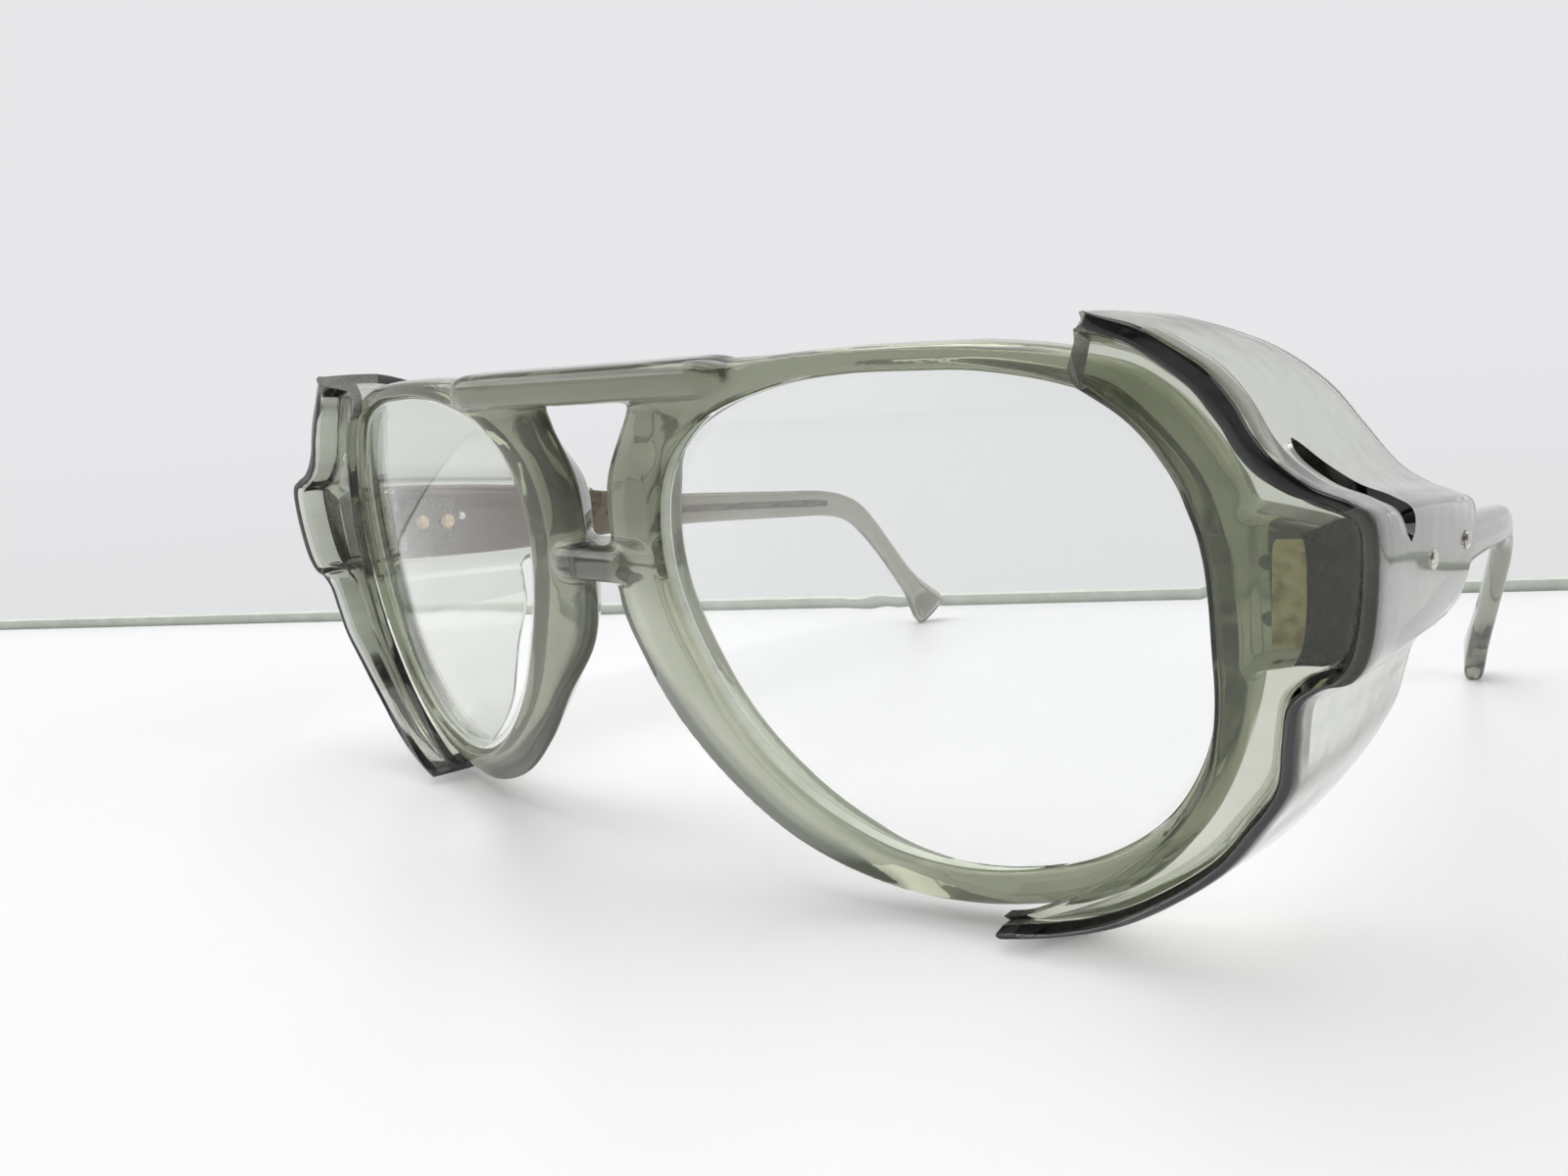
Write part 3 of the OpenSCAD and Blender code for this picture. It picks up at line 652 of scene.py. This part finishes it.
# ---------------------------------------------------------------- temples
TEMPLES = [
    (73.2, 16.1, .3, 11.2, 3.8, 8.5), (72.1, 23, -.9, 11.2, 3.8, 8.5), (70.9, 31, -2.3, 10.9, 3.8, 8.5),
    (69.5, 40, -3.9, 10, 3.7, 8.5), (67.9, 50, -5.6, 8.2, 3.6, 8.5), (66.3, 60, -7.4, 6.4, 3.5, 8.5),
    (64.6, 70, -9.1, 5.4, 3.4, 9), (61.2, 90, -12.7, 4.9, 3.2, 10.5), (59.4, 100, -14.7, 4.7, 3, 12),
    (58.3, 105.6, -17.2, 4.3, 2.8, 14), (57.2, 108.8, -21, 3.8, 2.7, 16), (55.6, 111.2, -26, 3.5, 2.7, 17),
    (53.8, 113.4, -31.4, 3.8, 2.7, 17), (52.3, 115.4, -35.4, 5, 2.7, 17), (51.2, 117.0, -38.7, 7.2, 2.7, 17),
    (50.7, 117.9, -40.4, 7, 2.3, 17)]
TS = open_spline(TEMPLES, 10)
HX, HY, KZ = 69.9, 17.2, 0.4


def t_frame(i):
    a, b = TS[max(i - 1, 0)], TS[min(i + 1, len(TS) - 1)]
    t = unit(b[:3] - a[:3])
    q = math.radians(TS[i][5])
    h = np.array([math.cos(q), math.sin(q), 0])
    if i == 0:
        return h, np.array([0, 0, 1.0])
    side = unit(h - (h @ t) * t)
    return side, np.cross(side, t)


def temple_end_shade_material():
    """The sawn end of each temple, which faces the endpiece, painted near black as shade."""
    m, t, p, out = material("temple_end_painted_shade")
    n = noise(t, 1800, 3, stretch=(1, 1, 6))
    r = ramp(t, n.outputs["Fac"], [(0.35, (0.030, 0.031, 0.024)), (0.7, (0.055, 0.057, 0.045))])
    t.links.new(r.outputs["Color"], p.inputs["Base Color"])
    q = ramp(t, n.outputs["Fac"], [(0.35, (0.5,) * 3), (0.7, (0.7,) * 3)])
    t.links.new(q.outputs["Color"], p.inputs["Roughness"])
    return m


TEMPLE_END_SHADE = temple_end_shade_material()


def rod(p0, p1, r, n=32):
    """A round rod between two upright points, as a mesh object that cuts a hole."""
    p0, p1 = np.array(p0, float), np.array(p1, float)
    d = unit(p1 - p0)
    e = unit(np.cross(d, [0.3, 0.9, 0.2]))
    g = np.cross(d, e)
    rings = [[p + r * (math.cos(a) * e + math.sin(a) * g) for a in np.linspace(0, 2 * math.pi, n, endpoint=False)] for p in (p0, p1)]
    return loft(rings)


def temple(side):
    mir = side == "right"
    rings = []
    last = len(TS) - 1
    for i in range(last + 1):
        s, f = TS[i], t_frame(i)
        scale = 1.0
        near = min(i, last - i)
        if near < 4:
            scale = (0.80, 0.90, 0.96, 0.99)[near]
        h, w = s[3] * (1 - (1 - scale) * 0.45), s[4] * scale
        r = min(h, w) * 0.40
        rings.append([s[:3] - a * f[0] + b * f[1] for a, b in round_rect(w, h, r, 7)])
    v, fc = loft(rings)
    ob = mesh("vis_temple_" + side, v, fc, mir)
    cv, cf = rod((HX, HY, KZ - 8), (HX, HY, KZ + 8), 1.6, 48)
    cut(ob, mesh("cutter", cv, cf, mir))
    smooth(ob, 40)
    level(ob)
    piece(ob, "temple_" + side, [TEMPLE, TEMPLE_END_SHADE], "acetate_temple", "temple_" + side)
    # the end faces that face the endpiece take the painted shade
    for f in ob.data.polygons:
        c = f.center * 1000
        y = (c.y - SHIFT_Y) * CL + (c.z - RISE) * SL
        if y < 16.3 and f.normal.y < -0.9:
            f.material_index = 1
    return ob


def wire(side):
    rings = []
    for i in range(44, 81):
        s, f = TS[i], t_frame(i)
        r = 0.65 if 45 < i < 79 else 0.5
        rings.append([s[:3] - r * math.cos(a) * f[0] + r * math.sin(a) * f[1] for a in np.linspace(0, 2 * math.pi, 20, endpoint=False)])
    v, fc = loft(rings)
    ob = mesh("vis_wire_" + side, v, fc, side == "right")
    smooth(ob, 40)
    return piece(ob, "temple_" + side, WIRE, "wire", "core_wire_" + side)


for side in ("left", "right"):
    temple(side)
    wire(side)

# ---------------------------------------------------------------- side shields
SH = [
    (56.3, 17.6, 57.8, 23.9, 57.5, 11, 23.1, 3.6), (58.8, 15.6, 61.5, 22.6, 59.6, 15, 22.2, 3.6),
    (60.6, 13.6, 64.3, 20.7, 61.8, 21, 20.1, 3.6), (62.0, 11.4, 66.8, 18.7, 64.2, 25.5, 17.6, 3.6),
    (63.0, 9.4, 68.7, 16.2, 66.0, 30.5, 14.0, 3.6), (63.6, 7.6, 70.0, 13.8, 67.2, 35, 9.6, 3.6),
    (64.1, 6.0, 71.6, 11.8, 68.4, 39.5, 5.2, 3.6), (64.4, 4.6, 74.0, 10.0, 69.5, 44, 2.5, 3.6),
    (64.6, 3.2, 76.8, 8.9, 70.2, 49, 0.6, 3.6), (64.7, 2.0, 78.6, 7.4, 70.5, 53.7, -1.5, 3.6),
    (64.8, -0.5, 78.7, 2.6, 70.3, 54.6, -4.5, 3.6), (64.8, -3.0, 78.0, -2.2, 70.7, 51, -8.2, 3.6),
    (64.8, -4.8, 76.6, -4.6, 70.9, 46.5, -10.0, 3.6), (64.8, -6.4, 74.4, -5.4, 70.6, 41.5, -10.8, 3.6),
    (64.7, -8.4, 72.7, -7, 70.0, 37.5, -11.4, 3.6), (64.4, -10.8, 72.1, -10.2, 69.5, 36.8, -13.4, 3.6),
    (63.6, -14.4, 71.4, -14.2, 68.7, 36, -16.8, 3.6), (61.9, -17.8, 69, -18, 67.4, 33.8, -20, 3.6),
    (59.1, -21.4, 66, -21.9, 65.5, 31, -23.2, 3.6), (55.4, -24.6, 62, -25.2, 62.9, 28, -26.6, 3.5),
    (51.2, -27.4, 57, -28.2, 60, 24.8, -29.4, 3.3), (47.4, -29.4, 51.4, -30, 55.6, 19, -32, 3.1),
    (45.0, -30.0, 46.3, -30.9, 49, 11, -33, 3)]
SUB = 8
SS = open_spline(SH, SUB)
WALLS = [0.025, 0.05, 0.08, 0.11, 0.14, 0.17, 0.31, 0.38, 0.48, 0.58, 0.68, 0.78, 0.88, 0.95, 1.0]
SLOT = 5                    # rows SLOT and SLOT + 1 are the slot's two edges
SLOT_FROM, SLOT_TO = 5.3, 9.5
WALL_T, GAP, FLANGE = 1.3, 0.35, 1.4


def s_inward(s):
    return unit([s[0] - s[2], s[1] - s[3]])


def skin(i, v):
    s = SS[i]
    a = at(s[2:4], -GAP - FLANGE - s[7])
    b = s[4:7]
    u = i / SUB
    flat = min(1, min(abs(u - 10) / 3.5, 1))
    w = s_inward(s)
    bow = 0.4 * flat * min(1, np.linalg.norm(b - a) / 30) * 4 * v * (1 - v)
    return a + (b - a) * v - bow * np.array([w[0], 0, w[1]])


def skin_normal(i, v):
    n = len(SS) - 1
    p, q = skin(max(i - 2, 0), v), skin(min(i + 2, n), v)
    e, g = skin(i, max(v - 0.04, 0)), skin(i, min(v + 0.04, 1))
    return unit(np.cross(g - e, q - p))


def rows(i):
    """Where the wall's rows lie on ring i. Two of them part to leave the vent slot."""
    u = i / SUB
    c, h = (SLOT_FROM + SLOT_TO) / 2, (SLOT_TO - SLOT_FROM) / 2
    k = max(0.0, 1 - abs((u - c) / h) ** 3)
    mid = 0.236 + 0.01 * max(-1, min(1, (u - 7) / 1.5))
    half = max(0.072 * math.sqrt(k), 0.004)
    out = []
    for j, v in enumerate(WALLS):
        if j == SLOT:
            v = mid - half
        elif j == SLOT + 1:
            v = mid + half
        elif j < SLOT:
            v = v * (mid - half) / 0.17
        else:
            v = 1 - (1 - v) * (1 - mid - half) / 0.69
        out.append(v)
    return out


def shield_ring(i):
    s = SS[i]
    w, c, e = s_inward(s), s[2:4], s[0:2]
    fg, ft = -GAP, -GAP - FLANGE
    full = np.linalg.norm(e - c)
    rv = rows(i)
    lip_top = ft - s[7]
    outer = [skin(i, v) for v in rv]
    inner = [skin(i, v) + WALL_T * skin_normal(i, v) for v in reversed(rv)]
    # rounded rear edge
    nrm = skin_normal(i, 1.0)
    back = unit(skin(i, 1.0) - skin(i, 0.96))
    rear = [skin(i, 1.0) + nrm * WALL_T * a + back * WALL_T * b for a, b in ((0.18, 0.0), (0.5, 0.0), (0.82, 0.0))]
    outer[-1] = skin(i, 1.0) - back * 0.25
    inner[0] = skin(i, 1.0) + WALL_T * nrm - back * 0.25
    u = i / SUB
    wide = float(np.interp(u, (0, 2, 3.5, 6, 8, 12, 13.5, 22), (0.9, 1.35, 1.7, 1.5, 1.15, 1.15, 0.85, 0.85)))
    lip = [at(c + 0.15 * w, lip_top), at(c + min(wide, full * 0.4) * w, lip_top)]
    flange_under = [at(c + min(1.6, full * 0.36) * w, fg), at(c + full * 0.5 * w, fg), at(c + full * 0.72 * w, fg),
                    at(c + full * 0.88 * w, fg), at(e, fg)]
    flange_top = [at(e, ft), at(c + full * 0.88 * w, ft), at(c + full * 0.72 * w, ft),
                  at(c + min(2.6, full * 0.6) * w, ft)]
    wall_foot = at(c + min(wide + 0.4, full * 0.5) * w, lip_top + 0.5)
    k = max(0.0, 1 - i / (0.9 * SUB)) ** 2
    if k:
        lip = [p + k * np.array([0.9, 0, 0.1]) for p in lip]
        outer[0] = outer[0] + k * np.array([0.6, 0, 0.1])
        flange_under = [p - k * b * np.array([1.0, 0, 0]) for p, b in zip(flange_under, (0.6, 1.5, 1.6, 0.9, 0))]
        flange_top = [p - k * b * np.array([1.0, 0, 0]) for p, b in zip(flange_top, (0, 0.9, 1.6, 1.5))]
    pts = [lip[0]] + outer + rear + inner + flange_under + flange_top + [wall_foot, lip[1]]
    n_o, n_r, n_i = len(outer), len(rear), len(inner)
    radii = [0.55] + [0.0] * n_o + [0.0] * n_r + [0.0] * n_i + [0.5, 0, 0, 0, 0.45] + [0.45, 0, 0, 0.9] + [0.5, 0.6]
    out, tag = [], []
    for j, p in enumerate(pts):
        if radii[j] > 0:
            a, b = pts[j - 1], pts[(j + 1) % len(pts)]
            la, lb = np.linalg.norm(a - p), np.linalg.norm(b - p)
            t = min(radii[j], 0.45 * la, 0.45 * lb)
            q, r2 = p + (a - p) * t / la, p + (b - p) * t / lb
            for h in np.linspace(0, 1, 5):
                out.append((1 - h) ** 2 * q + 2 * h * (1 - h) * p + h * h * r2)
                tag.append(j)
        else:
            out.append(p)
            tag.append(j)
    return out, tag, n_o, n_r


def on_plate(y, d):
    """A point d millimetres along the rivet's axis, outwards from the side plate."""
    a = math.radians(9.4)
    o = np.array([78.3 - (y - 6.4) * 0.166, y, 0.95 - (y - 16) * 0.157])
    return o + d * np.array([math.cos(a), math.sin(a), 0])


def shield(side):
    mir = side == "right"
    n = len(SS)
    rings, tag = [], None
    for i in range(n):
        r, tag, n_o, n_r = shield_ring(i)
        rings.append(r)
    m = len(rings[0])
    verts = np.concatenate([np.array(r) for r in rings])
    a = tag.index(1 + SLOT)                       # outer edge of the slot, front row
    b = tag.index(1 + n_o + n_r + (n_o - 1 - SLOT)) - 1   # inner edge of the slot, rear row
    s0, s1 = int(round(SLOT_FROM * SUB)), int(round(SLOT_TO * SUB))
    faces, kind = [], []
    last = max(tag)
    lip = [tag[j] in (0, last) and tag[(j + 1) % m] in (0, last) for j in range(m)]
    fl = 1 + n_o + n_r + n_o                       # first of the flange's points
    over = [fl <= tag[j] < last - 1 for j in range(m)]
    hide = [tag[j] == fl and tag[(j + 1) % m] in (fl, fl + 1) for j in range(m)]
    for i in range(n - 1):
        u = (i + 0.5) / SUB
        # painted shade on the lip: clear tint at the very front, near black along the top, dark olive beside the
        # endpiece, grey-blue low down
        dark = 4 if u < 0.1 else 1 if u < 8.2 else 2 if u < 12.4 else 3
        for j in range(m):
            if s0 <= i < s1 and j in (a, b):
                continue
            faces.append((i * m + j, i * m + (j + 1) % m, (i + 1) * m + (j + 1) % m, (i + 1) * m + j))
            # the flange's under faces beside the endpiece take the dark olive painted shade, and the last rings and
            # the last cap take the tip's near black painted shade
            k = dark if lip[j] else 2 if hide[j] and 8.6 < u < 12.3 else 4 if over[j] else 0
            kind.append(6 if i >= n - 5 else k)
    # the vent slot's walls take the lip's near black painted shade
    for i in range(s0, s1):
        p, q, r, t = i * m + a, i * m + b + 1, (i + 1) * m + b + 1, (i + 1) * m + a
        faces.append((p, q, r, t))
        p, t, r, q = i * m + a + 1, (i + 1) * m + a + 1, (i + 1) * m + b, i * m + b
        faces.append((p, t, r, q))
        kind += [1, 1]
    for i in (s0, s1):
        faces.append((i * m + a, i * m + a + 1, i * m + b, i * m + b + 1))
        kind.append(1)
    faces.append(tuple(range(m)))
    faces.append(tuple(range((n - 1) * m, n * m)))
    kind += [5, 6]
    ob = mesh("vis_shield_" + side, verts, faces, mir)
    smooth(ob, 42)
    level(ob)
    piece(ob, "temple_" + side, [SHIELD, LIP_SHADE, LIP_SIDE_SHADE, LIP_LOW_SHADE, CLEAR_TINT, CUT_END, TIP_SHADE], "clear_shield", "side_shield_" + side)
    ob.visible_shadow = False
    for k, v in enumerate(kind):
        ob.data.polygons[k].material_index = v
    return ob


for side in ("left", "right"):
    shield(side)

# ---------------------------------------------------------------- metal carried over
for name, ob in NODES.items():
    if name.startswith("temple_hinge"):
        mat = LEAF
    elif name.startswith("front_hinge"):
        mat = STEEL
    elif name.startswith("hinge_screw"):
        mat = SCREW
    elif name.startswith("shield_rivets"):
        mat = RIVET
    elif name.startswith("front_rivets"):
        mat = DULL
    elif "rivets" in name:
        mat = BRASS
    else:
        continue
    ob.data.materials.clear()
    ob.data.materials.append(mat)
    smooth(ob, 30)

# ---------------------------------------------------------------- stage
def floor_material():
    m, t, p, out = material("table_white")
    n = noise(t, 6, 4)
    r = ramp(t, n.outputs["Fac"], [(0.3, (0.86, 0.86, 0.865)), (0.7, (0.885, 0.885, 0.885))])
    t.links.new(r.outputs["Color"], p.inputs["Base Color"])
    p.inputs["Roughness"].default_value = 0.35
    p.inputs["Specular IOR Level"].default_value = 0.3
    return m


def table():
    """A white table top whose back edge runs just behind the spectacles."""
    a, b = np.array([-0.267, -0.043]), np.array([0.046, 0.133])
    d = unit(b - a)
    nrm = np.array([d[1], -d[0]])
    mid = (a + b) / 2
    e0, e1 = mid - 2.5 * d, mid + 2.5 * d
    f1, f0 = e1 + 3.5 * nrm, e0 + 3.5 * nrm
    top = [(p[0], p[1], 0.0) for p in (e0, e1, f1, f0)]
    low = [(p[0], p[1], -0.02) for p in (e0, e1, f1, f0)]
    ob = mesh("table_top", np.array(top + low), [(0, 1, 2, 3), (4, 5, 6, 7), (0, 1, 5, 4), (1, 2, 6, 5), (2, 3, 7, 6), (3, 0, 4, 7)], place=False)
    ob.data.materials.append(floor_material())
    # the edge band of the table top, a little proud of it
    g0, g1, t = e0 - 0.004 * nrm, e1 - 0.004 * nrm, 0.003 * nrm
    top = [(p[0], p[1], 0.0020) for p in (g0, g1, g1 + t, g0 + t)]
    low = [(p[0], p[1], -0.02) for p in (g0, g1, g1 + t, g0 + t)]
    ob = mesh("table_band", np.array(top + low), [(0, 1, 2, 3), (4, 5, 6, 7), (0, 1, 5, 4), (1, 2, 6, 5), (2, 3, 7, 6), (3, 0, 4, 7)], place=False)
    m, t, p, out = material("table_band")
    n = noise(t, 300, 3)
    r = ramp(t, n.outputs["Fac"], [(0.3, (0.60, 0.65, 0.57)), (0.7, (0.72, 0.76, 0.69))])
    t.links.new(r.outputs["Color"], p.inputs["Base Color"])
    p.inputs["Roughness"].default_value = 0.6
    ob.data.materials.append(m)


table()


def world():
    w = bpy.data.worlds.new("soft_room")
    scene.world = w
    w.use_nodes = True
    t = w.node_tree
    bg = t.nodes["Background"]
    c = t.nodes.new("ShaderNodeTexCoord")
    sep = t.nodes.new("ShaderNodeSeparateXYZ")
    t.links.new(c.outputs["Generated"], sep.inputs["Vector"])
    # height in the room: below the table, the wall, then the darker ceiling
    mr = t.nodes.new("ShaderNodeMapRange")
    mr.inputs["From Min"].default_value, mr.inputs["From Max"].default_value = -1, 1
    t.links.new(sep.outputs["Z"], mr.inputs["Value"])
    up = ramp(t, mr.outputs["Result"], [(0.0, (0.60, 0.60, 0.61)), (0.40, (0.74, 0.745, 0.75)), (0.5, (0.80, 0.805, 0.82)),
                                        (0.72, (0.80, 0.80, 0.815)), (0.80, (0.30, 0.30, 0.31)), (1.0, (0.12, 0.12, 0.125))])
    # towards the photographer the room is darker
    dot = t.nodes.new("ShaderNodeVectorMath")
    dot.operation = "DOT_PRODUCT"
    dot.inputs[1].default_value = (0.68, -0.71, 0.15)
    t.links.new(c.outputs["Generated"], dot.inputs[0])
    back = ramp(t, dot.outputs["Value"], [(0.45, (1, 1, 1)), (0.8, (0.3, 0.3, 0.3)), (1.0, (0.15, 0.15, 0.15))])
    mix = t.nodes.new("ShaderNodeMix")
    mix.data_type, mix.blend_type = "RGBA", "MULTIPLY"
    mix.inputs["Factor"].default_value = 1
    t.links.new(up.outputs["Color"], mix.inputs["A"])
    t.links.new(back.outputs["Color"], mix.inputs["B"])
    t.links.new(mix.outputs["Result"], bg.inputs["Color"])
    bg.inputs["Strength"].default_value = 1.0


world()


def area(name, loc, target, size, power, size_y=None):
    d = bpy.data.lights.new(name, "AREA")
    d.shape = "RECTANGLE"
    d.size, d.size_y = size, size_y or size
    d.energy = power
    o = bpy.data.objects.new(name, d)
    o.location = loc
    o.rotation_mode = "QUATERNION"
    o.rotation_quaternion = (Vector(target) - Vector(loc)).to_track_quat("-Z", "Y")
    scene.collection.objects.link(o)


area("over", (-0.35, 0.1, 1.3), (0, 0, 0), 1.5, 16.5)
area("window", (-1.3, -0.9, 0.9), (0, 0, 0.02), 1.2, 9)
area("fill", (1.2, 0.2, 0.8), (0, 0, 0.02), 0.8, 4)

scene.view_settings.view_transform = "Standard"
scene.view_settings.look = "None"
scene.cycles.max_bounces = 24
scene.cycles.transmission_bounces = 24
scene.cycles.transparent_max_bounces = 24
